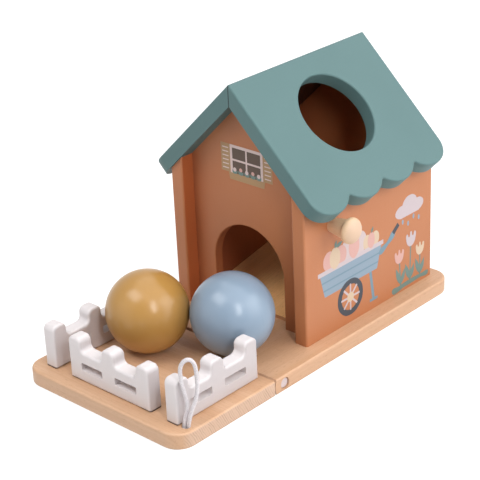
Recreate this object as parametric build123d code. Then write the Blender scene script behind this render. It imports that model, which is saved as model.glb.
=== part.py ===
from build123d import *
import math
import os

# A wooden ball-drop barn for a small child. A ball goes through the hole in the
# roof, lands on the ramp inside and rolls out of the arched door into a fenced
# yard. The yard folds up on two pins against the front of the house, and an
# elastic loop in its corner then hooks over the knob on the side wall.
# Millimetres. +Z is up, the yard points to -Y, and the origin is the middle of
# the whole footprint, on the ground.

# Board stock
base_thickness = 10.0
wall_thickness = 9.5
gable_thickness = 6.0
roof_thickness = 9.5
fence_thickness = 9.5

# Base plates
yard_length = 86.4            # front edge to hinge axis
hinge_to_house = 32.6         # hinge axis to the front edges of the side walls
house_length = 123.3          # side walls, along Y
rear_margin = 8.1             # base showing behind the house
house_width = 105.6           # over the outer faces of the side walls
side_margin = 11.0            # base showing beside the house
base_corner_radius = 12.0
base_edge_round = 1.4
seam_edge_round = 0.5

# Hinge between the two base plates
pin_radius = 3.5
pin_clearance = 0.05
pin_recess = 0.9              # pin end below the side face of the base
pin_grip = 18.0               # pin length inside the tongue
pin_end_bevel = 0.6
tongue_half_width = 36.0
tongue_side_clearance = 0.4
notch_clearance = 0.6         # behind the sweep of the tongue's top corner
ear_radius = 8.3
fold_clearance = 0.3

# House shell
wall_height = 88.2            # at the outer face of a side wall, above the base
ridge_flat = 0.5
roof_pitch = 44.3             # degrees
front_reveal = 9.4            # side walls ahead of the front panel, and behind the rear one
wall_edge_round = 1.3
ball_diameter = 50.0
door_side_clearance = 2.75    # each side of a ball
door_head_clearance = 10.3    # above a ball
door_edge_round = 0.8

# Roof
front_overhang = 1.8          # roof ahead of the side walls
rear_setback = 1.5            # roof short of the side walls' rear edges
eave_overhang = 14.3          # down the slope, from a side wall to the scallop's cusps
lobe_count = 4
lobe_drop = 7.3
eave_corner_round = 12.0
cusp_round = 1.5
roof_edge_round = 1.0
hole_clearance = 1.5          # round a ball, in the roof hole
hole_from_ridge = 40.9        # down the slope

# Ramp
ramp_angle = 11.6
ramp_thickness = 5.0
ramp_lip = 2.4
ramp_set_back = 1.7           # from the front panel to the ramp's foot
ramp_clearance = 0.3
ramp_block_length = 12.0
ramp_block_width = 60.0

# Fences
fence_margin = 9.5            # base showing outside the fences
picket_count = 3
picket_width = 10.2
picket_spacing = 27.5
picket_rise = 8.4             # pickets above the rail
bar_height = 6.2              # rail above its slots
slot_height = 4.8
picket_round = 3.6
valley_round = 3.0
slot_round = 0.8
fence_edge_round = 1.6
closing_clearance = 0.55      # folded fences to the walls

# Knob
knob_from_front = 24.8        # along the wall, from its front edge
knob_radius = 7.9
knob_reach = 19.2
knob_rim_reach = 14.2
knob_back = 2.6               # from the neck's throat to the rim
knob_neck_radius = 4.3
knob_throat_radius = 6.2
tenon_radius = 3.0
tenon_cover = 1.5             # wood left behind the tenon
knob_lead = 1.6               # knob's axis past the folded loop's hole
glue_clearance = 0.05

# Elastic loop
cord_radius = 1.2
loop_hole_radius = 2.6
loop_hole_inset = 12.3        # hole centre from the front edge
loop_hole_side = 6.3          # hole centre from the side edge
knot_radius = 3.3
knot_pocket_radius = 3.8
knot_pocket_depth = 5.0
knot_bottom = 0.6
knot_top = 4.6
loop_turn = 43.6              # degrees that the loop's plane is turned from X
arc_share = 0.45              # of a run that the arc at its end may take

# Balls
ball_rest_gap = 0.3
ball_fence_gap = 0.3
ball_behind_hinge = -25.6     # ochre ball, along Y from the hinge
ball_bearing = 34.2           # degrees, from the ochre ball to the blue one

# Fasteners
screw_head_radius = 3.5
screw_shank_radius = 1.75
screw_head_rim = 0.3
screw_head_cone = 2.1
screw_recess = 0.5
wall_screw_length = 28.0
fence_screw_length = 20.0
wall_screw_margin = 31.0      # from each end of a side wall
dowel_radius = 1.5
dowel_end_clearance = 0.3
gable_dowel_above_base = 35.5
gable_dowel_below_eave = 9.7
gable_dowel_in_wall = 6.0
gable_dowel_in_gable = 13.0
roof_dowel_from_ridge = 30.0  # down the slope
roof_dowel_from_wall = 11.8   # up the slope, from a side wall
roof_dowel_in_roof = 5.5
roof_dowel_in_gable = 14.0

# Working values
overcut = 1.0                 # how far a cutter reaches past what it cuts
on_plane = 0.01               # how near an edge or corner counts as lying on a plane

# Derived places
base_width = house_width + 2 * side_margin
base_half = base_width / 2
base_length = yard_length + hinge_to_house + house_length + rear_margin
yard_front = -base_length / 2
base_rear = base_length / 2
hinge_y = yard_front + yard_length
hinge_z = base_thickness / 2
wall_front = hinge_y + hinge_to_house
wall_rear = wall_front + house_length
wall_outer = house_width / 2
wall_inner = wall_outer - wall_thickness
gable_front_y = wall_front + front_reveal
gable_rear_y = wall_rear - front_reveal - gable_thickness
ball_radius = ball_diameter / 2
door_radius = ball_radius + door_side_clearance
door_spring = base_thickness + ball_diameter + door_head_clearance - door_radius
pitch_sin = math.sin(math.radians(roof_pitch))
pitch_cos = math.cos(math.radians(roof_pitch))
ceiling_ridge = base_thickness + wall_height + wall_outer * pitch_sin / pitch_cos
ridge_height = ceiling_ridge + roof_thickness / pitch_cos    # where the two roof faces would meet
roof_front = wall_front - front_overhang
roof_rear = wall_rear - rear_setback
wall_on_slope = wall_outer / pitch_cos
eave_cusp = wall_on_slope + eave_overhang
hole_radius = ball_radius + hole_clearance
ramp_foot = gable_front_y + gable_thickness + ramp_set_back
ramp_head = gable_rear_y - ramp_clearance
ramp_slope = math.tan(math.radians(ramp_angle))
ramp_drop = ramp_thickness / math.cos(math.radians(ramp_angle))
fence_height = hinge_to_house - hinge_z - closing_clearance
rail_height = fence_height - picket_rise
slot_bottom = rail_height - bar_height - slot_height
fence_length = (picket_count - 1) * picket_spacing + picket_width
fence_outer = base_half - fence_margin
fence_inner = fence_outer - fence_thickness
fence_front = yard_front + fence_margin
loop_x = base_half - loop_hole_side
loop_y = yard_front + loop_hole_inset
knob_y = wall_front + knob_from_front
knob_z = hinge_z + hinge_y - loop_y + knob_lead
tenon_end = wall_inner + tenon_cover


def ceiling_at(x):
    """Height of the roof's underside at a distance from the middle."""
    return ceiling_ridge - abs(x) * pitch_sin / pitch_cos


def ramp_top(y):
    """Height of the ramp's upper face."""
    return base_thickness + ramp_lip + (y - ramp_foot) * ramp_slope


def block(x_low, x_high, y_low, y_high, z_low, z_high):
    """A plain block between six limits."""
    size = (x_high - x_low, y_high - y_low, z_high - z_low)
    return Pos(x_low, y_low, z_low) * Box(*size, align=(Align.MIN, Align.MIN, Align.MIN))


def rod_along_x(radius, x_low, x_high, y, z):
    """A round bar that lies along X."""
    length = x_high - x_low
    return Pos((x_low + x_high) / 2, y, z) * Rot(0, 90, 0) * Cylinder(radius, length)


def edges_where(shape, test):
    """The edges whose middle point passes a test."""
    return ShapeList([edge for edge in shape.edges() if test(edge.position_at(0.5))])


def corners_where(face, test):
    """The corners of a face that pass a test."""
    return ShapeList([corner for corner in face.vertices() if test(corner)])


def on_either(value, first, second):
    """Whether a value lies on one of two planes."""
    return min(abs(value - first), abs(value - second)) < on_plane


def mirrored(shape):
    """The same piece on the other side of the middle plane."""
    return mirror(shape, about=Plane.YZ)


# Fasteners: countersunk wood screws that point up, and plain beech dowels


def screw(x, y, length, growth=0.0):
    """One screw, or with a growth the hole that it is driven into."""
    head = screw_head_radius + growth
    shank = screw_shank_radius + growth
    low = 0.0 if growth else screw_recess
    rim = screw_recess + screw_head_rim + growth
    top = screw_recess + length + growth
    outline = Polyline(
        (0, low), (head, low), (head, rim), (shank, rim + screw_head_cone), (shank, top), (0, top),
        close=True,
    )
    return Pos(x, y, 0) * revolve(Plane.XZ * make_face(outline), Axis.Z)


def wall_screw_spots():
    """Three screws under each side wall."""
    ends = (wall_front + wall_screw_margin, wall_rear - wall_screw_margin)
    rows = (ends[0], (ends[0] + ends[1]) / 2, ends[1])
    middle = wall_outer - wall_thickness / 2
    return [(side * middle, y) for side in (-1, 1) for y in rows]


def fence_screw_spots():
    """Two screws under each fence, below its end pickets."""
    first = picket_width / 2
    last = fence_length - picket_width / 2
    line = fence_outer - fence_thickness / 2
    sides = [(side * line, fence_front + along) for side in (-1, 1) for along in (first, last)]
    across = fence_front + fence_thickness / 2
    return sides + [(along - fence_length / 2, across) for along in (first, last)]


def drilled(shape, spots, screw_length):
    """A piece with the holes for its screws."""
    for x, y in spots:
        shape -= screw(x, y, screw_length, glue_clearance)
    return shape


def gable_dowels(growth=0.0):
    """Dowels from the side walls into the edges of both end panels."""
    spare = dowel_end_clearance if growth else 0.0
    low = wall_inner - gable_dowel_in_gable - spare
    high = wall_inner + gable_dowel_in_wall + spare
    heights = (base_thickness + gable_dowel_above_base, ceiling_at(wall_outer) - gable_dowel_below_eave)
    pieces = []
    for y in (gable_front_y, gable_rear_y):
        for z in heights:
            rod = rod_along_x(dowel_radius + growth, low, high, y + gable_thickness / 2, z)
            pieces += [rod, mirrored(rod)]
    return pieces


def roof_dowels(growth=0.0):
    """Dowels from the roof boards into the sloping edges of both end panels."""
    spare = dowel_end_clearance if growth else 0.0
    high = roof_dowel_in_roof - roof_thickness + spare
    low = -roof_thickness - roof_dowel_in_gable - spare
    pieces = []
    for y in (gable_front_y, gable_rear_y):
        for place in (roof_dowel_from_ridge, wall_on_slope - roof_dowel_from_wall):
            rod = Cylinder(dowel_radius + growth, high - low)
            rod = roof_plane() * Pos(place, y + gable_thickness / 2, (high + low) / 2) * rod
            pieces += [rod, mirrored(rod)]
    return pieces


# Base plates


def rounded_board(outline, is_outer_corner, is_outer_edge):
    """A board of base stock with round outer corners, rounded outer edges and crisp inner ones."""
    face = make_face(outline)
    face = fillet(corners_where(face, is_outer_corner), base_corner_radius)
    board = extrude(face, base_thickness)
    flat = edges_where(board, lambda p: on_either(p.Z, 0, base_thickness) and is_outer_edge(p))
    return fillet(flat, base_edge_round)


def pin_bores():
    """The holes for both hinge pins."""
    inner = tongue_half_width - pin_grip - dowel_end_clearance
    bore = rod_along_x(pin_radius + pin_clearance, inner, base_half + overcut, hinge_y, hinge_z)
    return bore + mirrored(bore)


def make_house_base():
    """The plate under the house, with an ear each side of the notch."""
    notch_half = tongue_half_width + tongue_side_clearance
    ear_end = hinge_y - ear_radius
    notch_y = hinge_y + math.hypot(hinge_z, hinge_z) + notch_clearance
    outline = Polyline(
        (-notch_half, notch_y), (-notch_half, ear_end), (-base_half, ear_end), (-base_half, base_rear),
        (base_half, base_rear), (base_half, ear_end), (notch_half, ear_end), (notch_half, notch_y),
        close=True,
    )
    plate = rounded_board(
        outline,
        lambda corner: abs(corner.Y - base_rear) < on_plane,
        lambda p: abs(p.X) > base_half - base_corner_radius / 2 or p.Y > base_rear - base_corner_radius / 2,
    )
    tip = block(-base_half - overcut, base_half + overcut, ear_end - overcut, hinge_y,
                -overcut, base_thickness + overcut)
    reach = base_half + 2 * overcut
    plate -= tip - rod_along_x(ear_radius, -reach, reach, hinge_y, hinge_z)
    return drilled(plate - pin_bores(), wall_screw_spots(), wall_screw_length)


def make_yard_base():
    """The folding plate, with a tongue that turns on the pins."""
    shoulder = hinge_y - ear_radius - fold_clearance
    tongue_end = hinge_y + hinge_z
    outline = Polyline(
        (-tongue_half_width, shoulder), (-tongue_half_width, tongue_end), (tongue_half_width, tongue_end),
        (tongue_half_width, shoulder), (base_half, shoulder), (base_half, yard_front),
        (-base_half, yard_front), (-base_half, shoulder), close=True,
    )
    plate = rounded_board(
        outline,
        lambda corner: abs(corner.Y - yard_front) < on_plane,
        lambda p: abs(p.X) > base_half - base_corner_radius / 2 or p.Y < yard_front + base_corner_radius / 2,
    )
    heel = block(-base_half, base_half, hinge_y, tongue_end + overcut, -overcut, hinge_z)
    plate -= heel - rod_along_x(hinge_z, -base_half - overcut, base_half + overcut, hinge_y, hinge_z)

    def on_crest(p):
        return abs(p.Y - tongue_end) < on_plane and abs(p.Z - base_thickness) < on_plane

    plate = fillet(edges_where(plate, on_crest), seam_edge_round) - pin_bores()
    plate -= Pos(loop_x, loop_y, 0) * Cylinder(loop_hole_radius, 2 * base_thickness + overcut)
    plate -= Pos(loop_x, loop_y, 0) * Cylinder(knot_pocket_radius, 2 * knot_pocket_depth)
    return drilled(plate, fence_screw_spots(), fence_screw_length)


def make_hinge_pin():
    """The right-hand pin, fixed in the ear and turning in the tongue."""
    inner = tongue_half_width - pin_grip
    pin = rod_along_x(pin_radius, inner, base_half - pin_recess, hinge_y, hinge_z)
    return chamfer(pin.edges().filter_by(GeomType.CIRCLE), pin_end_bevel)


# House shell


def make_right_wall():
    """The right side wall, its top bevelled to the roof."""
    outline = Polyline(
        (wall_inner, base_thickness), (wall_outer, base_thickness),
        (wall_outer, ceiling_at(wall_outer)), (wall_inner, ceiling_at(wall_inner)), close=True,
    )
    wall = extrude(Plane.XZ.offset(-wall_front) * make_face(outline), -house_length)
    wall = fillet(wall.edges().filter_by(Axis.Z), wall_edge_round)
    for hole in gable_dowels(glue_clearance):
        wall -= hole
    return drilled(wall, wall_screw_spots(), wall_screw_length)


def make_gable(y_low):
    """An end panel between the side walls, up to the underside of the roof."""
    outline = Polyline(
        (-wall_inner, base_thickness), (wall_inner, base_thickness), (wall_inner, ceiling_at(wall_inner)),
        (0, ceiling_ridge), (-wall_inner, ceiling_at(wall_inner)), close=True,
    )
    panel = extrude(Plane.XZ.offset(-y_low) * make_face(outline), -gable_thickness)
    for hole in gable_dowels(glue_clearance) + roof_dowels(glue_clearance):
        panel -= hole
    return panel


def make_front_gable():
    """The front panel, with the arched door that the balls roll out of."""
    rear = gable_front_y + gable_thickness
    arch = Cylinder(door_radius, gable_thickness + 2 * overcut)
    arch = Pos(0, (gable_front_y + rear) / 2, door_spring) * Rot(90, 0, 0) * arch
    legs = block(-door_radius, door_radius, gable_front_y - overcut, rear + overcut, 0, door_spring)
    panel = make_gable(gable_front_y) - arch - legs

    def on_door_rim(p):
        reach = math.hypot(p.X, max(p.Z - door_spring, 0))
        return (abs(p.Y - gable_front_y) < on_plane and abs(reach - door_radius) < on_plane
                and p.Z > base_thickness + overcut)

    return fillet(edges_where(panel, on_door_rim), door_edge_round)


# Roof


def roof_plane():
    """Local X runs down the right slope from the ridge, local Z points out of it."""
    down_slope = (pitch_cos, 0, -pitch_sin)
    return Plane(origin=(0, 0, ridge_height), x_dir=down_slope, z_dir=(pitch_sin, 0, pitch_cos))


def eave_outline():
    """The board's outline, with round lobes along its lower edge."""
    lobe = (roof_rear - roof_front) / lobe_count
    lines = Curve()
    for index in range(lobe_count):
        start = roof_front + index * lobe
        lines += ThreePointArc(
            (eave_cusp, start), (eave_cusp + lobe_drop, start + lobe / 2), (eave_cusp, start + lobe)
        )
    lines += Line((eave_cusp, roof_rear), (0, roof_rear))
    lines += Line((0, roof_rear), (0, roof_front))
    lines += Line((0, roof_front), (eave_cusp, roof_front))
    return lines


def make_roof_board(with_hole):
    """The right-hand roof board, mitred at the ridge."""
    face = make_face(eave_outline())
    ends = corners_where(
        face, lambda v: abs(v.X - eave_cusp) < on_plane and on_either(v.Y, roof_front, roof_rear)
    )
    face = fillet(ends, eave_corner_round)
    cusps = corners_where(
        face, lambda v: abs(v.X - eave_cusp) < on_plane and roof_front + overcut < v.Y < roof_rear - overcut
    )
    board = extrude(fillet(cusps, cusp_round), -roof_thickness)
    if with_hole:
        middle = (roof_front + roof_rear) / 2
        board -= Pos(hole_from_ridge, middle, 0) * Cylinder(hole_radius, 3 * roof_thickness)
    proud = edges_where(board, lambda p: abs(p.Z) < on_plane and p.X > on_plane)
    board = roof_plane() * fillet(proud, roof_edge_round)
    board &= block(0, eave_cusp + lobe_drop, roof_front - overcut, roof_rear + overcut,
                   0, ridge_height - ridge_flat)
    for hole in roof_dowels(glue_clearance):
        board -= hole
    return board


# Ramp


def make_ramp():
    """The sloping board, cut flat under its foot."""
    heel = ramp_foot + (ramp_drop - ramp_lip) / ramp_slope
    outline = Polyline(
        (ramp_foot, base_thickness), (ramp_foot, ramp_top(ramp_foot)), (ramp_head, ramp_top(ramp_head)),
        (ramp_head, ramp_top(ramp_head) - ramp_drop), (heel, base_thickness), close=True,
    )
    half = wall_inner - ramp_clearance
    return extrude(Plane.YZ.offset(-half) * make_face(outline), 2 * half)


def make_ramp_block():
    """The block that carries the high end of the ramp."""
    front = gable_rear_y - ramp_block_length
    high = ramp_top(ramp_head) - ramp_drop
    outline = Polyline(
        (front, base_thickness), (front, ramp_top(front) - ramp_drop), (ramp_head, high),
        (gable_rear_y, high), (gable_rear_y, base_thickness), close=True,
    )
    return extrude(Plane.YZ.offset(-ramp_block_width / 2) * make_face(outline), ramp_block_width)


# Fences


def fence_outline():
    """Front view of a fence: pickets joined by a lower rail."""
    points = [(0, 0), (0, fence_height)]
    for index in range(picket_count):
        left = index * picket_spacing
        right = left + picket_width
        if index:
            points += [(left, rail_height), (left, fence_height)]
        points.append((right, fence_height))
        if index < picket_count - 1:
            points.append((right, rail_height))
    points.append((fence_length, 0))
    face = make_face(Polyline(*points, close=True))
    face = fillet(corners_where(face, lambda v: abs(v.Y - fence_height) < on_plane), picket_round)
    return fillet(corners_where(face, lambda v: abs(v.Y - rail_height) < on_plane), valley_round)


def make_fence():
    """One fence, standing on z = 0, from x = 0 along X, its outer face at y = 0."""
    board = extrude(Plane.XZ * fence_outline(), -fence_thickness)
    board = fillet(edges_where(board, lambda p: on_either(p.Y, 0, fence_thickness)), fence_edge_round)
    for index in range(picket_count - 1):
        left = index * picket_spacing + picket_width
        right = (index + 1) * picket_spacing
        cutter = block(left, right, -overcut, fence_thickness + overcut,
                       slot_bottom, slot_bottom + slot_height)
        board -= fillet(cutter.edges().filter_by(Axis.Y), slot_round)
    return board


def make_front_fence():
    """The fence across the front of the yard."""
    fence = Pos(-fence_length / 2, fence_front, base_thickness) * make_fence()
    return drilled(fence, fence_screw_spots(), fence_screw_length)


def make_right_fence():
    """The fence along the right side of the yard."""
    fence = Pos(fence_outer, fence_front, base_thickness) * Rot(0, 0, 90) * make_fence()
    return drilled(fence, fence_screw_spots(), fence_screw_length)


# Knob


def make_knob():
    """A turned peg: domed head, waisted neck and a tenon glued into the wall."""
    rim = wall_outer + knob_rim_reach
    throat = rim - knob_back
    outline = Curve() + [
        Line((tenon_end, 0), (tenon_end, tenon_radius)),
        Line((tenon_end, tenon_radius), (wall_outer, tenon_radius)),
        Line((wall_outer, tenon_radius), (wall_outer, knob_neck_radius)),
        Line((wall_outer, knob_neck_radius), (throat, knob_throat_radius)),
        Spline((throat, knob_throat_radius), (rim, knob_radius), tangents=((0.3, 1), (1, 0))),
        EllipticalCenterArc((rim, 0), knob_reach - knob_rim_reach, knob_radius, 0, arc_size=90),
        Line((wall_outer + knob_reach, 0), (tenon_end, 0)),
    ]
    return Pos(0, knob_y, knob_z) * revolve(Plane.XY * make_face(outline), Axis.X)


def tenon_bore():
    """The blind hole for the knob's tenon."""
    return rod_along_x(tenon_radius + glue_clearance, tenon_end - dowel_end_clearance,
                       wall_outer + overcut, knob_y, knob_z)


# Elastic loop


def loop_point(across, height, lean=0.0):
    """A point of the elastic loop: across its plane, above the ground, out of its plane."""
    turn = math.radians(loop_turn)
    x = loop_x + across * math.cos(turn) - lean * math.sin(turn)
    y = loop_y + across * math.sin(turn) + lean * math.cos(turn)
    return (x, y, height)


def loop_route():
    """The cord's route: up through the hole, round the loop and back down."""
    return [
        loop_point(-1.15, knot_top, 0.35), loop_point(-1.15, 10.7, 0.35), loop_point(0.2, 16.5, 0.8),
        loop_point(1.5, 22.3, 0.5), loop_point(0.7, 28.5, 0.2), loop_point(-0.9, 35.5, 0.0),
        loop_point(-1.5, 41.8, 0.0), loop_point(-1.2, 46.9, 0.0), loop_point(0.8, 50.4, 0.0),
        loop_point(4.0, 51.3, 0.0), loop_point(6.4, 48.8, 0.0), loop_point(7.2, 44.0, 0.0),
        loop_point(7.4, 37.7, 0.0), loop_point(7.1, 30.7, 0.0), loop_point(5.9, 25.7, -0.2),
        loop_point(3.6, 20.3, -0.5), loop_point(2.3, 15.7, -0.8), loop_point(1.15, 10.7, -0.35),
        loop_point(1.15, knot_top, -0.35),
    ]


def corner_radii(points):
    """The largest arc that each corner's two runs allow."""
    radii = []
    for before, here, after in zip(points, points[1:], points[2:]):
        first = Vector(*here) - Vector(*before)
        second = Vector(*after) - Vector(*here)
        turn = math.radians(first.get_angle(second))
        radii.append(arc_share * min(first.length, second.length) / math.tan(turn / 2))
    return radii


def make_elastic_loop():
    """The elastic cord, one tube along its route."""
    points = loop_route()
    radii = corner_radii(points)
    path = FilletPolyline(*points, radius=radii)
    start = Plane(origin=path @ 0, z_dir=path % 0)
    tube = sweep(start * Circle(cord_radius), path)
    section = math.pi * cord_radius ** 2
    print("cord radii", [round(radius, 1) for radius in radii])
    print("cord length", round(path.length, 1), "volume ratio", round(tube.volume / section / path.length, 4))
    return tube


def make_loop_knot():
    """The knot that keeps the loop in the plate, in its pocket underneath."""
    slab = Box(2 * knot_radius, 2 * knot_radius, knot_top - knot_bottom)
    return Pos(loop_x, loop_y, (knot_bottom + knot_top) / 2) * (Sphere(knot_radius) & slab)


# Balls


def ochre_place():
    """Where the ochre ball lies, beside the left fence."""
    return (-fence_inner + ball_fence_gap + ball_radius, hinge_y + ball_behind_hinge)


def blue_place():
    """Where the blue ball lies, against the ochre one and over the tongue."""
    bearing = math.radians(ball_bearing)
    reach = ball_diameter + ball_rest_gap
    x, y = ochre_place()
    return (x + reach * math.cos(bearing), y + reach * math.sin(bearing))


def make_ball(place):
    """One solid ball, standing on the yard."""
    return Pos(place[0], place[1], base_thickness + ball_rest_gap + ball_radius) * Sphere(ball_radius)


# All the pieces

right_wall = make_right_wall()
right_fence = make_right_fence()
hinge_pin = make_hinge_pin()

pieces = {
    "house_base": make_house_base(),
    "yard_base": make_yard_base(),
    "hinge_pin_right": hinge_pin,
    "hinge_pin_left": mirrored(hinge_pin),
    "wall_right": right_wall - tenon_bore(),
    "wall_left": mirrored(right_wall),
    "gable_front": make_front_gable(),
    "gable_rear": make_gable(gable_rear_y),
    "roof_right": make_roof_board(with_hole=True),
    "roof_left": mirrored(make_roof_board(with_hole=False)),
    "ramp": make_ramp(),
    "ramp_block": make_ramp_block(),
    "fence_right": right_fence,
    "fence_left": mirrored(right_fence),
    "fence_front": make_front_fence(),
    "knob": make_knob(),
    "elastic_loop": make_elastic_loop(),
    "loop_knot": make_loop_knot(),
    "ball_ochre": make_ball(ochre_place()),
    "ball_blue": make_ball(blue_place()),
    "wall_screws": Compound([screw(x, y, wall_screw_length) for x, y in wall_screw_spots()]),
    "fence_screws": Compound([screw(x, y, fence_screw_length) for x, y in fence_screw_spots()]),
    "gable_dowels": Compound(gable_dowels()),
    "roof_dowels": Compound(roof_dowels()),
}

os.makedirs("parts", exist_ok=True)
for name, shape in pieces.items():
    export_step(shape, f"parts/{name}.step")
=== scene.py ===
import itertools
import math

import bpy
from mathutils import Matrix, Vector


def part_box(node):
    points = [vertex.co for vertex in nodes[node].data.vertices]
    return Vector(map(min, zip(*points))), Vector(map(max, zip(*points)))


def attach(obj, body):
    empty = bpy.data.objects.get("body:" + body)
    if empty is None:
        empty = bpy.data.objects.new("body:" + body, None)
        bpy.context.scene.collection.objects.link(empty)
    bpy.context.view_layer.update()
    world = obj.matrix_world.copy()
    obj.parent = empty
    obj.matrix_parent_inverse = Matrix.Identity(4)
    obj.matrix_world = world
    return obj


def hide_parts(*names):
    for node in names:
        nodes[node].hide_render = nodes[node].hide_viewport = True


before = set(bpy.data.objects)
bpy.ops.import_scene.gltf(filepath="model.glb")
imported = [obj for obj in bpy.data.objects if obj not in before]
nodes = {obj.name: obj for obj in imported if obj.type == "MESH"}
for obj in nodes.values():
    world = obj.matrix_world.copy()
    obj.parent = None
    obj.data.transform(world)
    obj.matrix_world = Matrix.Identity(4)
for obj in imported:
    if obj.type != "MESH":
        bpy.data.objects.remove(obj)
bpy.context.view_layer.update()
bpy.ops.object.select_all(action="DESELECT")


# Base plates: two boards of oiled beech, planed, sanded and rounded over. The
# grain of the yard plate runs across the toy, so its end grain shows on the side
# where the loop is. The grain of the house plate runs along the toy.

yard_pale = (0.64, 0.40, 0.247, 1)
yard_warm = (0.555, 0.308, 0.162, 1)
house_pale = (0.635, 0.39, 0.24, 1)
house_warm = (0.525, 0.283, 0.143, 1)
beech_line = (0.42, 0.22, 0.12, 1)
beech_fleck = (0.36, 0.165, 0.08, 1)
end_pale = (0.585, 0.385, 0.265, 1)
end_dark = (0.35, 0.21, 0.135, 1)
band_strength = 0.8
line_strength = 0.17
fleck_strength = 0.38
end_ring_strength = 0.60
ring_spacing = 0.0014
ring_sway = 13.0
ring_lean = math.radians(26)
fibre_depth = 0.00004
ALONG_X, ALONG_Y, ALONG_Z = 0, 1, 2


class Finish:
    """A material, the nodes that feed its shader, and its colour so far."""

    def __init__(self, name, color, roughness, gloss=0.5):
        self.material = bpy.data.materials.new(name)
        self.material.use_nodes = True
        self.tree = self.material.node_tree
        self.shader = self.tree.nodes["Principled BSDF"]
        self.shader.inputs["Base Color"].default_value = color
        self.shader.inputs["Roughness"].default_value = roughness
        self.shader.inputs["Specular IOR Level"].default_value = gloss
        self.color = color
        self.place = self.add("ShaderNodeTexCoord", {}).outputs["Object"]

    def add(self, kind, inputs, **settings):
        """A new node, with its settings and with its inputs set or linked."""
        node = self.tree.nodes.new(kind)
        for key, value in settings.items():
            setattr(node, key, value)
        for key, value in inputs.items():
            if isinstance(value, bpy.types.NodeSocket):
                self.tree.links.new(value, node.inputs[key])
            else:
                node.inputs[key].default_value = value
        return node

    def set(self, socket, value):
        """Links a value to one of the shader's sockets."""
        self.tree.links.new(value, self.shader.inputs[socket])

    def compute(self, operation, *values):
        """Arithmetic on one to three values."""
        return self.add("ShaderNodeMath", dict(enumerate(values)), operation=operation).outputs[0]

    def times(self, first, *others):
        """The product of some values."""
        for other in others:
            first = self.compute("MULTIPLY", first, other)
        return first

    def step(self, value, low, high, bottom=0.0, top=1.0):
        """Takes low to high of a value to bottom to top, and holds it outside."""
        inputs = {"Value": value, "From Min": low, "From Max": high, "To Min": bottom, "To Max": top}
        return self.add("ShaderNodeMapRange", inputs).outputs["Result"]

    def below(self, value, limit, edge):
        """1 where a value is below a limit, and from there down to 0 over an edge."""
        return self.step(value, limit, limit + edge, 1.0, 0.0)

    def mix(self, amount, first, second):
        """A blend of two colours."""
        return self.add("ShaderNodeMix", {0: amount, 6: first, 7: second}, data_type="RGBA").outputs[2]

    def over(self, amount, color):
        """Lays a colour over the colour so far, as much of it as a value says."""
        self.color = self.mix(amount, self.color, color)
        self.set("Base Color", self.color)

    def noise(self, scale, detail=2.0):
        """Noise with the same scale each way, per metre, or one scale for each axis."""
        if isinstance(scale, (int, float)):
            scale = (scale, scale, scale)
        spread = self.add("ShaderNodeMapping", {"Vector": self.place, "Scale": scale})
        inputs = {"Vector": spread.outputs[0], "Scale": 1.0, "Detail": detail}
        return self.add("ShaderNodeTexNoise", inputs).outputs["Fac"]

    def grain(self, axis, along, across, down=None, detail=2.0):
        """Noise drawn out along one axis, as fibres are, with its own scale downwards if given."""
        scale = [across, across, across]
        scale[axis] = along
        if down:
            scale[ALONG_Z] = down
        return self.noise(scale, detail)

    def axes(self):
        """The place on the piece, split into its three coordinates."""
        return self.add("ShaderNodeSeparateXYZ", {0: self.place}).outputs

    def from_middle(self):
        """The distance from the upright plane through the middle of the toy."""
        return self.compute("ABSOLUTE", self.axes()[ALONG_X])

    def facing(self, axis, low=0.6, high=0.9):
        """1 where the surface faces along an axis, either way, and 0 elsewhere."""
        normal = self.add("ShaderNodeTexCoord", {}).outputs["Normal"]
        share = self.add("ShaderNodeSeparateXYZ", {0: normal}).outputs[axis]
        return self.step(self.compute("ABSOLUTE", share), low, high)

    def bump(self, height, depth, strength=1.0):
        """Relief of a depth in metres."""
        inputs = {"Height": height, "Distance": depth, "Strength": strength}
        self.set("Normal", self.add("ShaderNodeBump", inputs).outputs["Normal"])

    def coat(self, *names):
        """Gives the finish to CAD nodes."""
        for name in names:
            for slot in nodes[name].material_slots:
                slot.material = self.material


def beech(name, axis, pale, warm, lean=0.0, ends=(end_pale, end_dark)):
    """Oiled beech: leaning growth rings, fine fibres, short ray flecks, ringed end grain."""
    wood = Finish(name, pale, 0.5, gloss=0.75)
    turn = [0.0, 0.0, 0.0]
    turn[axis] = -lean
    wood.place = wood.add("ShaderNodeMapping", {"Vector": wood.place, "Rotation": turn}).outputs[0]
    ring_axis = ALONG_X if axis == ALONG_Y else ALONG_Y
    sway = wood.times(wood.grain(axis, along=6, across=140), ring_sway)
    count = wood.compute("ADD", wood.times(wood.axes()[ring_axis], math.tau / ring_spacing), sway)
    rings = wood.step(wood.compute("SINE", count), -0.2, 0.9)
    breaks = wood.step(wood.grain(axis, along=30, across=420, down=90), 0.36, 0.62, 0.10, 1.0)
    rings = wood.times(rings, breaks)
    bands = wood.step(wood.grain(axis, along=4, across=75, down=30, detail=3.0), 0.35, 0.68)
    lines = wood.step(wood.grain(axis, along=14, across=900, down=60), 0.42, 0.68)
    flecks = wood.step(wood.grain(axis, along=300, across=2100, detail=1.0), 0.60, 0.74)
    wood.over(wood.times(bands, band_strength), warm)
    wood.over(wood.times(wood.compute("MAXIMUM", lines, rings), line_strength), beech_line)
    wood.over(wood.times(flecks, fleck_strength), beech_fleck)
    end = wood.mix(wood.times(rings, end_ring_strength), *ends)
    wood.over(wood.facing(axis, 0.80, 0.97), end)
    wood.set("Roughness", wood.step(lines, 0, 1, 0.44, 0.58))
    wood.bump(wood.compute("ADD", flecks, lines), fibre_depth, 0.6)
    return wood


beech("yard_beech", ALONG_X, yard_pale, yard_warm, ring_lean).coat("yard_base")
beech("house_beech", ALONG_Y, house_pale, house_warm, -ring_lean).coat("house_base")


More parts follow.
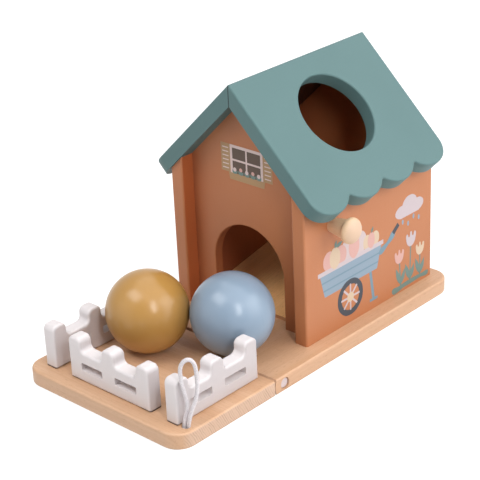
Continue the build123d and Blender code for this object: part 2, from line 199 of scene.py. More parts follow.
# Hinge pins: plain beech dowels, one each side, driven in until their ends lie
# a little below the side faces of the plates. Their ends are cut clean and pale.

pin_pale = (0.66, 0.56, 0.57, 1)
pin_dark = (0.52, 0.42, 0.40, 1)

pin_finish = Finish("pin_beech", pin_pale, 0.6)
pin_fibre = pin_finish.grain(ALONG_X, along=60, across=1800)
pin_finish.over(pin_fibre, pin_dark)
pin_finish.bump(pin_fibre, 0.00003)
pin_finish.coat("hinge_pin_right", "hinge_pin_left")


# House shell: side walls of 9.5 mm board and end panels of 6 mm board, sprayed
# with matt terracotta paint on all faces before they are dowelled and glued.

wall_terracotta = (0.455, 0.170, 0.068, 1)
wall_deep = (0.425, 0.149, 0.055, 1)
panel_terracotta = (0.420, 0.150, 0.056, 1)
panel_deep = (0.392, 0.132, 0.045, 1)
peel_depth = 0.00002


def paint(name, color, deep, axis, roughness=0.5, texture=1.0, gloss=0.3):
    """Sprayed paint over board: a fine orange peel and a hint of the grain below."""
    layer = Finish(name, color, roughness, gloss)
    cloud = layer.step(layer.noise(22, 3.0), 0.35, 0.65)
    fibre = layer.grain(axis, along=40, across=1300)
    layer.over(layer.times(cloud, 0.5), deep)
    layer.over(layer.times(layer.step(fibre, 0.5, 0.8), 0.25 * texture), deep)
    peel = layer.noise(1500)
    smooth, dull = roughness - 0.05 * texture, roughness + 0.06 * texture
    layer.set("Roughness", layer.step(peel, 0.3, 0.7, smooth, dull))
    relief = layer.compute("ADD", peel, layer.times(fibre, 0.7 * texture))
    layer.bump(relief, peel_depth * texture, 0.7)
    return layer


# Painted shade: the tone is painted deeper on the walls' inner faces, and much
# darker just behind the door, for the shade that falls inside the house.

wall_inside_painted_shade = (0.445, 0.118, 0.034, 1)
wall_behind_door_painted_shade = (0.18, 0.040, 0.016, 1)
wall_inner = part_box("wall_right")[0][0]
door_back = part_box("gable_front")[1][1]
shade_edge = 0.0003
shade_end = 0.060
shade_left = 0.15

wall_paint = paint("wall_paint", wall_terracotta, wall_deep, ALONG_Z, gloss=0.55)
inner_face = wall_paint.below(wall_paint.from_middle(), wall_inner, shade_edge)
wall_y = wall_paint.axes()[ALONG_Y]
behind_door = wall_paint.step(wall_y, door_back - shade_edge, door_back)
near_door = wall_paint.step(wall_y, door_back, shade_end, 1.0, shade_left)
wall_paint.over(inner_face, wall_inside_painted_shade)
wall_paint.over(wall_paint.times(inner_face, behind_door, near_door), wall_behind_door_painted_shade)
wall_paint.coat("wall_right", "wall_left")

# Painted shade: on the end panels the tone is painted deeper on the cut edges
# and in the corners by the walls, where shade falls.

panel_painted_shade = (0.33, 0.094, 0.033, 1)
corner_start = 0.029
corner_share = 0.8

panel_paint = paint("panel_paint", panel_terracotta, panel_deep, ALONG_Z, gloss=0.55)
panel_face = panel_paint.facing(ALONG_Y, 0.5, 0.95)
off_corner = panel_paint.step(panel_paint.from_middle(), corner_start, wall_inner, 1.0, 1 - corner_share)
panel_shade = panel_paint.compute("SUBTRACT", 1.0, panel_paint.times(panel_face, off_corner))
panel_paint.over(panel_shade, panel_painted_shade)
panel_paint.coat("gable_front", "gable_rear")


# Wall picture: a hand cart of pumpkins, tulips and a cloud, pad-printed in eight
# matt inks on the right wall before the house is put together. Its places and
# sizes are in millimetres, along the wall and up from the ground.

ink_thickness = 0.00006
ink_step = 0.00002
ink_lift = 0.0000012
merge_distance = 0.0000005
millimetre = 0.001
SMOOTH, SHARP = "AUTO", "VECTOR"
ANGULAR = (SHARP,)


def ink(name, color, thin):
    """Matt ink with the fine speckle of a pad print."""
    film = Finish(name, color, 0.55)
    speckle = film.step(film.noise(2400, 1.0), 0.45, 0.70)
    film.over(film.times(speckle, 0.35), thin)
    film.bump(speckle, 0.00001)
    return film.material


def shape(points, layer=0, corners=(SMOOTH,), hole=None):
    """A flat filled shape inside a closed line, some layers above the face."""
    line = bpy.data.curves.new("shape", "CURVE")
    line.dimensions = "2D"
    line.fill_mode = "BOTH"
    line.extrude = ink_thickness / 2
    line.resolution_u = 8
    for closed in filter(None, (points, hole)):
        spline = line.splines.new("BEZIER")
        spline.bezier_points.add(len(closed) - 1)
        for knot, (across, height), corner in zip(spline.bezier_points, closed, itertools.cycle(corners)):
            knot.co = (across * millimetre, height * millimetre, 0)
            knot.handle_left_type = knot.handle_right_type = corner
        spline.use_cyclic_u = True
    flat = bpy.data.objects.new("shape", line)
    flat.location.z = layer * ink_step
    bpy.context.scene.collection.objects.link(flat)
    return flat


def round_line(across, height, wide, high=None):
    """Eight points round an oval with these half sizes."""
    high = high or wide
    turns = [math.tau * step / 8 for step in range(8)]
    return [(across + wide * math.cos(turn), height + high * math.sin(turn)) for turn in turns]


def oval(across, height, wide, high=None, layer=0):
    """A filled oval."""
    return shape(round_line(across, height, wide, high), layer)


def bar(first, last, width, layer=0):
    """A straight stroke with square ends."""
    start, stop = Vector(first), Vector(last)
    side = (stop - start).orthogonal().normalized() * width / 2
    return shape([start - side, stop - side, stop + side, start + side], layer, ANGULAR)


def leaf(first, last, width, layer=0):
    """A pointed leaf between two places."""
    start, stop = Vector(first), Vector(last)
    side = (stop - start).orthogonal().normalized() * width / 2
    middle = start.lerp(stop, 0.45)
    return shape([start, middle - side, stop, middle + side], layer, (SHARP, SMOOTH))


def printed(name, shapes, film, place):
    """Joins the shapes of one ink and lays them on a face of the house."""
    bpy.ops.object.select_all(action="DESELECT")
    for number, flat in enumerate(shapes):
        flat.location.z += number * ink_lift
        flat.select_set(True)
    bpy.context.view_layer.objects.active = shapes[0]
    bpy.ops.object.convert(target="MESH")
    bpy.ops.object.join()
    picture = bpy.context.object
    bpy.ops.object.transform_apply(location=True, rotation=False, scale=False)
    bpy.ops.object.mode_set(mode="EDIT")
    bpy.ops.mesh.select_all(action="SELECT")
    bpy.ops.mesh.remove_doubles(threshold=merge_distance)
    bpy.ops.mesh.normals_make_consistent(inside=False)
    bpy.ops.object.mode_set(mode="OBJECT")
    picture.data.transform(place)
    picture.name = name
    picture.data.materials.clear()
    picture.data.materials.append(film)
    bpy.ops.object.select_all(action="DESELECT")
    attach(picture, "house")


pale_blue = ink("pale_blue_ink", (0.235, 0.31, 0.385, 1), (0.20, 0.265, 0.33, 1))
mid_blue = ink("mid_blue_ink", (0.155, 0.25, 0.31, 1), (0.14, 0.215, 0.27, 1))
slate = ink("slate_ink", (0.036, 0.044, 0.058, 1), (0.050, 0.056, 0.068, 1))
cream = ink("cream_ink", (0.60, 0.46, 0.33, 1), (0.53, 0.38, 0.26, 1))
off_white = ink("off_white_ink", (0.525, 0.445, 0.465, 1), (0.465, 0.375, 0.38, 1))
pink = ink("pink_ink", (0.60, 0.35, 0.31, 1), (0.54, 0.29, 0.24, 1))
rose = ink("rose_ink", (0.56, 0.46, 0.46, 1), (0.50, 0.38, 0.38, 1))
leaf_green = ink("leaf_green_ink", (0.13, 0.21, 0.19, 1), (0.15, 0.20, 0.17, 1))

wall_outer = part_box("wall_right")[1][0]
on_wall = Matrix(((0, 0, 1, wall_outer), (1, 0, 0, 0), (0, 1, 0, 0), (0, 0, 0, 1)))
wheel_middle = Vector((35.0, 27.0))
tyre_radius = 12.0
tyre_inner = 8.3
hub_radius = 3.2
spoke_count = 8
spoke_length = 8.8
spoke_width = 1.3
plank_line = 0.9
stem_width = 1.2
tulips = [((85.0, 15.0), (83.5, 35.0)), ((94.5, 15.0), (95.5, 43.0)), ((105.0, 15.0), (105.0, 33.0))]
tulip_leaves = ((-5.0, 13.0), (4.6, 10.5))
rain = ((87, 57.5), (92.5, 54.8), (98, 57.8), (103.5, 55.4))


def spokes():
    """The strokes from the wheel's middle to its tyre."""
    turns = [math.tau * step / spoke_count for step in range(spoke_count)]
    tips = [wheel_middle + spoke_length * Vector((math.cos(turn), math.sin(turn))) for turn in turns]
    return [bar(wheel_middle, tip, spoke_width, 3) for tip in tips]


def pumpkin_sides(across, height, wide, high):
    """The two outer lobes of a pumpkin."""
    return [oval(across + side * wide * 0.52, height, wide * 0.50, high) for side in (-1, 1)]


def tulip_head(across, height, size, layer):
    """A cup of petals with three tips."""
    cup = [(-0.86, 0.95), (-1.0, -0.1), (-0.55, -0.85), (0, -1.05), (0.55, -0.85), (1.0, -0.1), (0.86, 0.95),
           (0.42, 0.40), (0, 1.15), (-0.42, 0.40)]
    return shape([(across + size * x, height + size * y) for x, y in cup], layer)


printed("cart_blue", [
    shape([(11, 36), (61, 36), (65.5, 51), (7, 51)], 0, ANGULAR),
    *[oval(x, y, 0.9, 1.7) for x, y in rain],
], pale_blue, on_wall)
printed("cart_shade", [
    bar((9.9, 40.2), (62.3, 40.2), plank_line, 1), bar((8.5, 45.6), (63.9, 45.6), plank_line, 1),
    bar((54.5, 36), (57.5, 16.5), 2.4), bar((53.8, 16.4), (61.5, 16.4), 1.8),
    shape([(63.2, 44.5), (72, 47.5), (79.5, 53.6), (78.3, 55.4), (70.8, 50), (63.8, 47.2)]),
], mid_blue, on_wall)
printed("cart_wheel", [
    shape(round_line(*wheel_middle, tyre_radius), 2, (SMOOTH,), round_line(*wheel_middle, tyre_inner)),
    bar((77.2, 53.6), (82.6, 57.8), 3.2, 1),
], slate, on_wall)
printed("cart_trim", [
    bar((5.2, 51.8), (67.3, 51.8), 2.8, 1), *spokes(),
    oval(86.5, 64.6, 7.0, 4.2), oval(94.0, 67.6, 7.4, 5.8), oval(101.5, 64.8, 6.6, 4.3),
    bar((84.5, 61.7), (103.5, 61.7), 2.8),
    tulip_head(*tulips[1][1], 4.6, 3),
], off_white, on_wall)
printed("cart_cream", [
    oval(*wheel_middle, hub_radius, layer=5), oval(21.0, 58.2, 4.8, 6.9, 2),
    *pumpkin_sides(55.5, 57.0, 7.6, 4.8), tulip_head(*tulips[2][1], 4.0, 3),
], cream, on_wall)
printed("cart_pink", [
    *pumpkin_sides(21.0, 58.0, 10.6, 6.3), oval(39.0, 59.6, 5.0, 8.1, 2), oval(55.5, 57.0, 3.4, 5.2, 2),
    tulip_head(*tulips[0][1], 4.3, 3),
], pink, on_wall)
printed("cart_rose", pumpkin_sides(39.0, 59.4, 11.6, 7.5), rose, on_wall)
printed("cart_green", [
    *[bar(foot, head, stem_width) for foot, head in tulips],
    *[leaf((x, y), (x + lean, y + rise), 3.6, 1) for (x, y), head in tulips for lean, rise in tulip_leaves],
    leaf((21.0, 64.4), (22.6, 69.4), 2.0, 4), leaf((39.0, 67.0), (37.2, 72.0), 2.2, 4),
    leaf((55.5, 61.6), (57.4, 65.6), 1.8, 4), leaf((39.6, 67.6), (47.0, 69.4), 3.0, 4),
    leaf((21.6, 64.8), (28.4, 66.8), 2.6, 4),
    shape([(76, 13.4), (84, 14.8), (96, 15.4), (107, 14.9), (114, 13.6), (104, 12.6), (90, 12.2)]),
], leaf_green, on_wall)


# Gable window: a barn window with shutters and a flower box, pad-printed above
# the door in the same way. Its places are in millimetres too, from the middle.

pane_brown = ink("pane_brown_ink", (0.085, 0.052, 0.036, 1), (0.10, 0.060, 0.042, 1))
straw = ink("straw_ink", (0.38, 0.235, 0.115, 1), (0.33, 0.195, 0.09, 1))
frame_white = ink("frame_white_ink", (0.64, 0.51, 0.49, 1), (0.58, 0.44, 0.41, 1))

gable_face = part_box("gable_front")[0][1]
on_gable = Matrix(((1, 0, 0, 0), (0, 0, -1, gable_face), (0, 1, 0, 0), (0, 0, 0, 1)))
window_left, window_right = -10.5, 13.5
window_low, window_high = 103.0, 120.0
window_middle = (window_left + window_right) / 2
window_waist = (window_low + window_high) / 2
frame_width = 1.8
frame_half = frame_width / 2
glazing_bar = 1.2
shutter_width = 7.2
shutter_gap = 1.0
shutters = (
    (window_left - shutter_gap - shutter_width, window_left - shutter_gap),
    (window_right + shutter_gap, window_right + shutter_gap + shutter_width),
)
slat_count = 6
slat_first = 2.2
slat_spacing = 2.6
slat_inset = 1.2
slat_width = 0.7
box_low = 98.6
box_foot = 1.5
box_brim = 2.4
soil = 102.6
flowers = (-8.0, -3.2, 1.6, 6.4, 11.0)
flower_leaves = ((-2.0, 2.6), (0.2, 3.2), (2.1, 2.4))


def upright(left, low, right, high):
    """An upright rectangle."""
    return shape([(left, low), (right, low), (right, high), (left, high)], 0, ANGULAR)


def slat(shutter, number):
    """One stroke across a shutter, counted from its foot."""
    height = window_low + slat_first + number * slat_spacing
    return bar((shutter[0] + slat_inset, height), (shutter[1] - slat_inset, height), slat_width, 1)


printed("window_panes", [
    upright(window_left, window_low, window_right, window_high),
], pane_brown, on_gable)
printed("window_frame", [
    bar((window_left, window_low), (window_left, window_high), frame_width, 1),
    bar((window_right, window_low), (window_right, window_high), frame_width, 1),
    bar((window_left - frame_half, window_high), (window_right + frame_half, window_high), frame_width, 2),
    bar((window_middle, window_low), (window_middle, window_high), glazing_bar, 1),
    bar((window_left, window_waist), (window_right, window_waist), glazing_bar, 2),
    *[oval(x, 105.4, 1.3, layer=5) for x in flowers[0::2]],
], frame_white, on_gable)
printed("window_shutters", [
    *[upright(left, window_low, right, window_high + frame_half) for left, right in shutters],
    shape([(window_left - box_foot, box_low), (window_right + box_foot, box_low),
           (window_right + box_brim, window_low), (window_left - box_brim, window_low)], 3, ANGULAR),
], straw, on_gable)
printed("shutter_slats", [
    slat(shutter, number) for shutter in shutters for number in range(slat_count)
], frame_white, on_gable)
printed("window_leaves", [
    leaf((x, soil), (x + lean, soil + rise), 1.8, 4) for x in flowers for lean, rise in flower_leaves
], leaf_green, on_gable)
printed("window_buds", [oval(x, 106.0, 1.2, layer=5) for x in flowers[1::2]], pink, on_gable)


# Roof: two boards mitred at the ridge, scalloped along the eaves, rounded over
# and sprayed sage green, with the mitre's open line in their front edges shown
# as a painted dark line of shade.
# The right board has the hole that the balls drop through.

sage = (0.100, 0.181, 0.182, 1)
sage_deep = (0.091, 0.167, 0.168, 1)
mitre_painted_shade = (0.016, 0.026, 0.027, 1)
mitre_line = 0.00022
mitre_edge = 0.00026

roof_paint = paint("sage_paint", sage, sage_deep, ALONG_Y)
from_ridge = roof_paint.from_middle()
# Painted shade: a thin near-black line down the mitre on the boards' end faces.
mitre = roof_paint.times(roof_paint.below(from_ridge, mitre_line, mitre_edge), roof_paint.facing(ALONG_Y))
roof_paint.over(mitre, mitre_painted_shade)

# Painted shade: between the walls and the end panels, the boards' undersides are
# painted dark brown for the shade inside the house.

attic_painted_shade = (0.045, 0.018, 0.011, 1)
attic_edge = 0.0004
attic_cover = 0.0001
roof_pitch = math.radians(44.3)
ceiling_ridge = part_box("gable_front")[1][2]
attic_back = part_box("gable_rear")[0][1]

roof_y, roof_z = roof_paint.axes()[ALONG_Y:]
height_at_ridge = roof_paint.compute("MULTIPLY_ADD", from_ridge, math.tan(roof_pitch), roof_z)
attic = roof_paint.times(
    roof_paint.below(height_at_ridge, ceiling_ridge + attic_cover, attic_edge),
    roof_paint.below(from_ridge, wall_inner - attic_edge, attic_edge),
    roof_paint.step(roof_y, door_back, door_back + attic_edge),
    roof_paint.below(roof_y, attic_back - attic_edge, attic_edge),
)
roof_paint.over(attic, attic_painted_shade)
roof_paint.coat("roof_right", "roof_left")


# Ramp: a thin beech board that slopes down to the door, on a block at its high
# end. Both are left bare inside the house.

ramp_pale = (0.88, 0.49, 0.20, 1)
ramp_warm = (0.82, 0.42, 0.155, 1)
ramp_end = (0.50, 0.23, 0.10, 1)

ramp_beech = beech("ramp_beech", ALONG_Y, ramp_pale, ramp_warm, ends=(ramp_end, beech_line))
ramp_beech.coat("ramp", "ramp_block")


# Fences: three boards cut to pickets, slotted, rounded over and sprayed white,
# each screwed to the yard plate from below.

chalk = (0.725, 0.68, 0.685, 1)
chalk_deep = (0.70, 0.65, 0.655, 1)
chalk_side_painted_shade = (0.55, 0.505, 0.512, 1)

fence_paint = paint("white_paint", chalk, chalk_deep, ALONG_Z, roughness=0.42, texture=0.6, gloss=0.5)
# Painted shade: the faces along X, either way, are painted a darker white to tone down the light on them.
fence_paint.over(fence_paint.facing(ALONG_X, 0.5, 0.95), chalk_side_painted_shade)

# Painted shadow: a thin dark line is painted at the foot of the front fence's
# ends, where they meet the plate.

foot_painted_shadow = (0.045, 0.022, 0.014, 1)
foot_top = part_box("yard_base")[1][2] + 0.0005
foot_top_edge = 0.0007
foot_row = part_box("fence_front")[1][1] + 0.0002
foot_row_edge = 0.0010
foot_start = 0.0225
foot_full = 0.0265

fence_y, fence_z = fence_paint.axes()[ALONG_Y:]
foot_line = fence_paint.times(
    fence_paint.below(fence_z, foot_top, foot_top_edge),
    fence_paint.below(fence_y, foot_row, foot_row_edge),
    fence_paint.step(fence_paint.from_middle(), foot_start, foot_full),
)
fence_paint.over(foot_line, foot_painted_shadow)
fence_paint.coat("fence_right", "fence_left", "fence_front")


# Knob: turned from one piece of pale wood, with its grain along its axis, and
# glued into the right wall by its tenon. The folded yard's loop hooks over it.

knob_pale = (0.63, 0.44, 0.31, 1)
knob_side_grain_and_shade = (0.78, 0.54, 0.34, 1)
knob_line = (0.62, 0.41, 0.26, 1)

# The sides are a warmer tan than the end face: partly the side grain's own tone, partly painted warm shade
# from the terracotta wall beside the knob.
knob_wood = Finish("knob_wood", knob_side_grain_and_shade, 0.48)
knob_fibre = knob_wood.step(knob_wood.grain(ALONG_X, along=40, across=1500), 0.45, 0.70)
knob_wood.over(knob_wood.facing(ALONG_X, 0.25, 0.85), knob_pale)
knob_wood.over(knob_wood.times(knob_fibre, 0.22), knob_line)
knob_wood.bump(knob_fibre, 0.00003, 0.6)
knob_wood.coat("knob")


# Elastic loop: 98 mm of round elastic, 2.4 mm across, with a braided cover. Both
# ends come up through one hole in the plate's corner from a knot underneath.

cord_radius = 0.0012
cord_sides = 24
cord_points_per_span = 24
loop_hole = (0.0575, -0.1129)
loop_turn = math.radians(43.6)
braid_pitch = 0.0042
braid_strands = 6
braid_depth = 0.00009
cord_cream = (0.74, 0.70, 0.715, 1)
cord_shade = (0.50, 0.46, 0.49, 1)


def loop_point(across, height, lean=0.0):
    """A point of the loop: across its plane, above the ground, out of its plane."""
    x = loop_hole[0] + across * math.cos(loop_turn) - lean * math.sin(loop_turn)
    y = loop_hole[1] + across * math.sin(loop_turn) + lean * math.cos(loop_turn)
    return Vector((x, y, height))


loop_route = [
    loop_point(-0.00115, 0.0046, 0.00035), loop_point(-0.00115, 0.0107, 0.00035),
    loop_point(0.0002, 0.0165, 0.0008), loop_point(0.0015, 0.0223, 0.0005),
    loop_point(0.0007, 0.0285, 0.0002), loop_point(-0.0009, 0.0355),
    loop_point(-0.0015, 0.0418), loop_point(-0.0012, 0.0469),
    loop_point(0.0008, 0.0504), loop_point(0.0040, 0.0513),
    loop_point(0.0064, 0.0488), loop_point(0.0072, 0.0440),
    loop_point(0.0074, 0.0377), loop_point(0.0071, 0.0307),
    loop_point(0.0059, 0.0257, -0.0002), loop_point(0.0036, 0.0203, -0.0005),
    loop_point(0.0023, 0.0157, -0.0008), loop_point(0.00115, 0.0107, -0.00035),
    loop_point(0.00115, 0.0046, -0.00035),
]


def smooth_line(name, route, points_per_span):
    """Points along a NURBS curve through a route's control points."""
    curve = bpy.data.curves.new(name, "CURVE")
    curve.dimensions = "3D"
    spline = curve.splines.new("NURBS")
    spline.points.add(len(route) - 1)
    for point, place in zip(spline.points, route):
        point.co = (*place, 1)
    spline.order_u = 3
    spline.use_endpoint_u = True
    spline.resolution_u = points_per_span
    guide = bpy.data.objects.new(name, curve)
    bpy.context.scene.collection.objects.link(guide)
    line = bpy.data.meshes.new_from_object(guide)
    points = [vertex.co.copy() for vertex in line.vertices]
    bpy.data.objects.remove(guide)
    bpy.data.meshes.remove(line)
    return points


def frames_along(points):
    """At each point, two directions square to the line, carried on without twist."""
    side = None
    result = []
    for index, point in enumerate(points):
        ahead = points[min(index + 1, len(points) - 1)] - points[max(index - 1, 0)]
        ahead.normalize()
        if side is None:
            side = ahead.orthogonal()
        side = (side - ahead * side.dot(ahead)).normalized()
        result.append((side.copy(), ahead.cross(side)))
    return result


def braided_tube(name, points, radius, finish):
    """A round cord whose cover crosses over and under itself."""
    vertices = []
    walked = 0.0
    for index, (point, (side, up)) in enumerate(zip(points, frames_along(points))):
        if index:
            walked += (point - points[index - 1]).length
        for corner in range(cord_sides):
            angle = math.tau * corner / cord_sides
            turn = math.tau * walked / braid_pitch
            left = math.cos(braid_strands * angle + turn)
            right = math.cos(braid_strands * angle - turn)
            reach = radius - braid_depth * (1 - abs(left + right) / 2)
            vertices.append(point + (side * math.cos(angle) + up * math.sin(angle)) * reach)
    faces = []
    for ring in range(len(points) - 1):
        for corner in range(cord_sides):
            a = ring * cord_sides + corner
            b = ring * cord_sides + (corner + 1) % cord_sides
            faces.append((a, b, b + cord_sides, a + cord_sides))
    last = (len(points) - 1) * cord_sides
    faces.append(tuple(range(cord_sides - 1, -1, -1)))
    faces.append(tuple(last + corner for corner in range(cord_sides)))
    mesh = bpy.data.meshes.new(name)
    mesh.from_pydata(vertices, [], faces)
    mesh.materials.append(finish.material)
    cord = bpy.data.objects.new(name, mesh)
    bpy.context.scene.collection.objects.link(cord)
    for face in mesh.polygons:
        face.use_smooth = True
    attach(cord, "yard")
    return cord


elastic = Finish("elastic", cord_cream, 0.75)
elastic.over(elastic.step(elastic.noise(2600), 0.4, 0.7), cord_shade)
elastic.bump(elastic.noise(5200), 0.00003)

knot_height = 0.0026
knot_middle = Vector((*loop_hole, knot_height))
knot_reach = 0.0022
knot_rise = 0.00098
knot_cord_radius = 0.0009
knot_opening = 0.16
knot_steps = 120


def overhand_knot():
    """Points along a pulled-tight overhand knot, from one cut end to the other."""
    points = []
    for step in range(knot_steps + 1):
        turn = knot_opening + (math.tau - 2 * knot_opening) * step / knot_steps
        points.append(knot_middle + Vector((
            knot_reach * (math.sin(turn) + 2 * math.sin(2 * turn)) / 3,
            knot_reach * (math.cos(turn) - 2 * math.cos(2 * turn)) / 3,
            -knot_rise * math.sin(3 * turn),
        )))
    return points


knot = braided_tube("cord_knot", overhand_knot(), knot_cord_radius, elastic)
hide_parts("loop_knot")

loop_line = smooth_line("loop_line", loop_route, cord_points_per_span)
loop = braided_tube("elastic_cord", loop_line, cord_radius, elastic)
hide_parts("elastic_loop")


# Balls: two loose balls, 50 mm across, turned from solid wood, sanded smooth and
# sprayed with satin paint, one in ochre and one in dusty blue.

ochre = (0.445, 0.238, 0.060, 1)
ochre_deep = (0.405, 0.209, 0.050, 1)
dusty_blue = (0.237, 0.316, 0.411, 1)
dusty_blue_deep = (0.218, 0.293, 0.385, 1)
satin = {"roughness": 0.28, "texture": 0.12, "gloss": 0.5}

paint("ochre_paint", ochre, ochre_deep, ALONG_X, **satin).coat("ball_ochre")
paint("blue_paint", dusty_blue, dusty_blue_deep, ALONG_X, **satin).coat("ball_blue")


# Screws: zinc-plated countersunk wood screws with a cross recess, driven from
# below into the side walls and the fences until they lie under the surface.

zinc_pale = (0.66, 0.66, 0.68, 1)
zinc_dark = (0.50, 0.50, 0.53, 1)
wall_screw_length = 0.028
fence_screw_length = 0.020
screw_sides = 20
screw_core = 0.00118
screw_crest = 0.00172
screw_pitch = 0.0018
screw_rings_per_turn = 6
screw_head_radius = 0.0035
screw_head_rim = 0.0003
screw_head_cone = 0.0021
screw_head_edge = 0.00012
screw_neck_radius = 0.00150
screw_neck_length = 0.0030
screw_tip_length = 0.0040
screw_tip_radius = 0.0002
recess_depth = 0.0017
recess_mouth = (0.00104, 0.00418)
recess_floor = (0.00048, 0.00171)
picket_half = 0.0051

zinc = Finish("zinc", zinc_pale, 0.32)
zinc.shader.inputs["Metallic"].default_value = 1.0
zinc.over(zinc.noise(900), zinc_dark)
zinc.set("Roughness", zinc.step(zinc.noise(1400), 0.3, 0.7, 0.26, 0.42))
zinc.bump(zinc.noise(3000), 0.00002)


def screw_levels(length):
    """Height above the head's face, radius and share of the thread, from head to tip."""
    neck = screw_head_rim + screw_head_cone
    thread_start = neck + screw_neck_length
    levels = [
        (0.0, screw_head_radius - screw_head_edge, 0.0), (screw_head_edge, screw_head_radius, 0.0),
        (screw_head_rim, screw_head_radius, 0.0), (neck, screw_neck_radius, 0.0),
        (thread_start - screw_pitch / 2, screw_neck_radius, 0.0),
    ]
    ring = screw_pitch / screw_rings_per_turn
    for step in range(int((length - thread_start) / ring) + 1):
        height = thread_start + step * ring
        narrowing = min(1.0, (length - height) / screw_tip_length)
        core = screw_tip_radius + (screw_core - screw_tip_radius) * narrowing
        levels.append((height, core, min(1.0, step / screw_rings_per_turn) * narrowing))
    return levels


def cross_recess(bottom):
    """A tapered cross that is cut out of a screw's head."""
    bpy.ops.mesh.primitive_cube_add(size=1)
    cutter = bpy.context.object
    for vertex in cutter.data.vertices:
        deep = vertex.co.z > 0
        width, reach = recess_floor if deep else recess_mouth
        vertex.co.x *= width
        vertex.co.y *= reach
        vertex.co.z = bottom + recess_depth if deep else bottom - recess_depth / 2
    bpy.ops.object.mode_set(mode="EDIT")
    bpy.ops.mesh.select_all(action="SELECT")
    bpy.ops.mesh.duplicate()
    bpy.ops.transform.rotate(value=math.radians(90), orient_axis="Z", center_override=(0, 0, 0))
    bpy.ops.object.mode_set(mode="OBJECT")
    return cutter


def wood_screw(name, length, bottom):
    """One screw that points up over the origin, with its head's face at a height."""
    levels = screw_levels(length)
    bpy.ops.object.select_all(action="DESELECT")
    bpy.ops.mesh.primitive_grid_add(x_subdivisions=screw_sides, y_subdivisions=len(levels) - 1, size=1)
    body = bpy.context.object
    body.name = name
    for vertex in body.data.vertices:
        share = vertex.co.x + 0.5
        height, core, thread = levels[round((vertex.co.y + 0.5) * (len(levels) - 1))]
        phase = (height / screw_pitch - share) % 1.0
        ridge = max(0.0, 1.0 - abs(phase - 0.5) * 4)
        reach = core + (screw_crest - screw_core) * thread * ridge
        angle = math.tau * share
        vertex.co = (reach * math.cos(angle), reach * math.sin(angle), bottom + height)
    bpy.ops.object.mode_set(mode="EDIT")
    bpy.ops.mesh.select_all(action="SELECT")
    bpy.ops.mesh.remove_doubles(threshold=0.00001)
    bpy.ops.mesh.select_all(action="DESELECT")
    bpy.ops.mesh.select_mode(type="EDGE")
    bpy.ops.mesh.select_non_manifold()
    bpy.ops.mesh.fill_holes(sides=0)
    bpy.ops.mesh.select_all(action="SELECT")
    bpy.ops.mesh.normals_make_consistent(inside=False)
    bpy.ops.object.mode_set(mode="OBJECT")
    cutter = cross_recess(bottom)
    bpy.context.view_layer.objects.active = body
    cut = body.modifiers.new("recess", "BOOLEAN")
    cut.operation = "DIFFERENCE"
    cut.use_self = True
    cut.object = cutter
    bpy.ops.object.modifier_apply(modifier=cut.name)
    bpy.data.objects.remove(cutter)
    body.data.materials.clear()
    body.data.materials.append(zinc.material)
    return body


def drive_screws(name, node, length, body_name, spots):
    """A copy of one screw at each place, in place of the CAD screws of a node."""
    pattern = wood_screw(name, length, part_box(node)[0][2])
    for number, (x, y) in enumerate(spots, 1):
        screw = pattern.copy()
        screw.data = pattern.data.copy()
        screw.name = f"{name}_{number}"
        screw.data.transform(Matrix.Translation((x, y, 0)))
        bpy.context.scene.collection.objects.link(screw)
        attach(screw, body_name)
        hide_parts(node)
    bpy.data.objects.remove(pattern)


def middles(node, axis, count):
    """Even places along an axis, from the first to the last of a node's screws."""
    low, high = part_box(node)
    first, last = low[axis] + screw_head_radius, high[axis] - screw_head_radius
    return [first + (last - first) * step / (count - 1) for step in range(count)]


wall_lines = middles("wall_screws", ALONG_X, 2)
wall_rows = middles("wall_screws", ALONG_Y, 3)
drive_screws("wall_screw", "wall_screws", wall_screw_length, "house", [
    (x, y) for x in wall_lines for y in wall_rows
])

fence_lines = middles("fence_screws", ALONG_X, 2)
front_line, back_row = middles("fence_screws", ALONG_Y, 2)
picket_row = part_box("fence_right")[0][1] + picket_half
picket_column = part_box("fence_front")[1][0] - picket_half
drive_screws("fence_screw", "fence_screws", fence_screw_length, "yard", [
    *[(x, y) for x in fence_lines for y in (picket_row, back_row)],
    (-picket_column, front_line), (picket_column, front_line),
])


# Dowels: plain beech pins that are hidden in the joints between walls, panels
# and roof boards.

pin_finish.coat("gable_dowels", "roof_dowels")


# Studio: a white table top that keeps a faint shadow of the toy, an even white
# room, and softboxes above the front, at the right and round the sides. The
# table doesn't glow under the narrow slot between the two plates.

table_reach = 8.0
table_gap = 0.0001
table_color = (0.75, 0.75, 0.75, 1)
table_seen_color = (0.35, 0.35, 0.35, 1)
table_glow_near = 0.85
table_glow_far = 1.0
table_fade_start = 0.25
table_fade_end = 1.0
slot_row = -0.0325
slot_half_length = 0.037
slot_half_width = 0.0035
slot_fade = 1.3
room_light = 0.01
white = (1, 1, 1, 1)

bpy.ops.object.select_all(action="DESELECT")
bpy.ops.mesh.primitive_plane_add(size=table_reach, location=(0, 0, -table_gap))
table = bpy.context.object
table.name = "table_top"
table_finish = Finish("table_white", table_color, 0.9, gloss=0.0)
table_rays = table_finish.add("ShaderNodeLightPath", {}).outputs
seen = table_finish.compute("MAXIMUM", table_rays["Is Camera Ray"], table_rays["Is Glossy Ray"])
seen = table_finish.compute("MAXIMUM", seen, table_rays["Is Transmission Ray"])
table_finish.over(seen, table_seen_color)
distance = table_finish.add("ShaderNodeVectorMath", {0: table_finish.place}, operation="LENGTH")
glow = table_finish.step(
    distance.outputs["Value"], table_fade_start, table_fade_end, table_glow_near, table_glow_far)
along_slot = table_finish.times(table_finish.from_middle(), 1 / slot_half_length)
from_slot = table_finish.compute("SUBTRACT", table_finish.axes()[ALONG_Y], slot_row)
across_slot = table_finish.times(table_finish.compute("ABSOLUTE", from_slot), 1 / slot_half_width)
off_slot = table_finish.step(table_finish.compute("MAXIMUM", along_slot, across_slot), 1.0, slot_fade)
table_finish.shader.inputs["Emission Color"].default_value = white
table_finish.set("Emission Strength", table_finish.times(glow, off_slot, seen))
table.data.materials.append(table_finish.material)

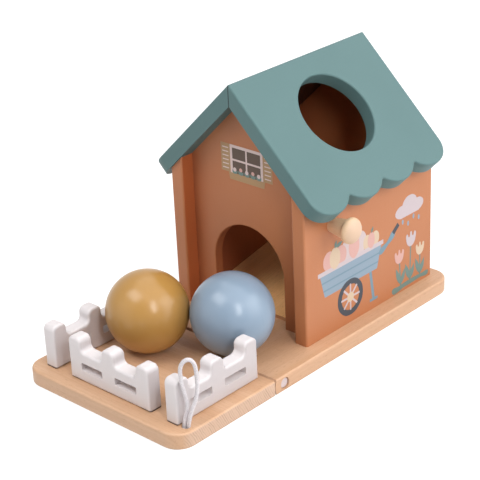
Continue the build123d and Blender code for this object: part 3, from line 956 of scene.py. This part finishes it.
room = bpy.data.worlds.new("room")
bpy.context.scene.world = room
room.use_nodes = True
room_nodes = room.node_tree.nodes
room_links = room.node_tree.links
room_rays = room_nodes.new("ShaderNodeLightPath").outputs
direct = room_rays["Is Camera Ray"]
for ray in ("Is Glossy Ray", "Is Transmission Ray"):
    either = room_nodes.new("ShaderNodeMath")
    either.operation = "MAXIMUM"
    room_links.new(direct, either.inputs[0])
    room_links.new(room_rays[ray], either.inputs[1])
    direct = either.outputs[0]
level = room_nodes.new("ShaderNodeMapRange")
level.inputs["To Min"].default_value = room_light
level.inputs["To Max"].default_value = 1.0
room_links.new(direct, level.inputs["Value"])
room_links.new(level.outputs["Result"], room_nodes["Background"].inputs["Strength"])
room_nodes["Background"].inputs["Color"].default_value = white

toy_middle = Vector((0, 0, 0.06))


def softbox(name, direction, distance, width, height, power):
    """A lamp with a square face that looks at the middle of the toy."""
    place = toy_middle + Vector(direction).normalized() * distance
    bpy.ops.object.light_add(type="AREA", location=place)
    lamp = bpy.context.object
    lamp.name = name
    lamp.data.shape = "RECTANGLE"
    lamp.data.size = width
    lamp.data.size_y = height
    lamp.data.energy = power
    lamp.rotation_euler = (toy_middle - place).to_track_quat("-Z", "Y").to_euler()


softbox("softbox_overhead", (-0.19, -0.54, 0.82), distance=1.1, width=0.72, height=0.44, power=5.4)
softbox("softbox_right", (0.745, -0.365, 0.56), distance=1.1, width=0.18, height=0.50, power=4.25)
softbox("softbox_ceiling", (0.25, 0.35, 0.90), distance=1.8, width=3.4, height=3.4, power=48.5)
softbox("softbox_front", (-0.35, -0.90, 0.28), distance=0.6, width=0.50, height=0.35, power=0.35)
softbox("softbox_side", (0.90, 0.32, 0.40), distance=0.6, width=0.50, height=0.50, power=1.7)


# Camera: a long lens at the front right that looks down by 25 degrees and is
# tipped by under three. The picture is seen with the Standard transform.

view_azimuth = math.radians(43.577)
view_elevation = math.radians(24.960)
view_roll = math.radians(-2.648)
view_distance = 0.8745
view_target = Vector((0.014186, -0.018545, 0.073702))
sensor = 36.0
lens = 112.71

back = Vector((
    math.sin(view_azimuth) * math.cos(view_elevation),
    -math.cos(view_azimuth) * math.cos(view_elevation),
    math.sin(view_elevation),
))
level_right = Vector((math.cos(view_azimuth), math.sin(view_azimuth), 0))
level_up = back.cross(level_right)
right = level_right * math.cos(view_roll) + level_up * math.sin(view_roll)
up = level_up * math.cos(view_roll) - level_right * math.sin(view_roll)
turned = Matrix((right, up, back)).transposed().to_4x4()
bpy.ops.object.camera_add()
camera = bpy.context.object
camera.matrix_world = Matrix.Translation(view_target + back * view_distance) @ turned
camera.data.lens = lens
camera.data.sensor_width = sensor
bpy.context.scene.camera = camera
bpy.context.scene.view_settings.view_transform = "Standard"
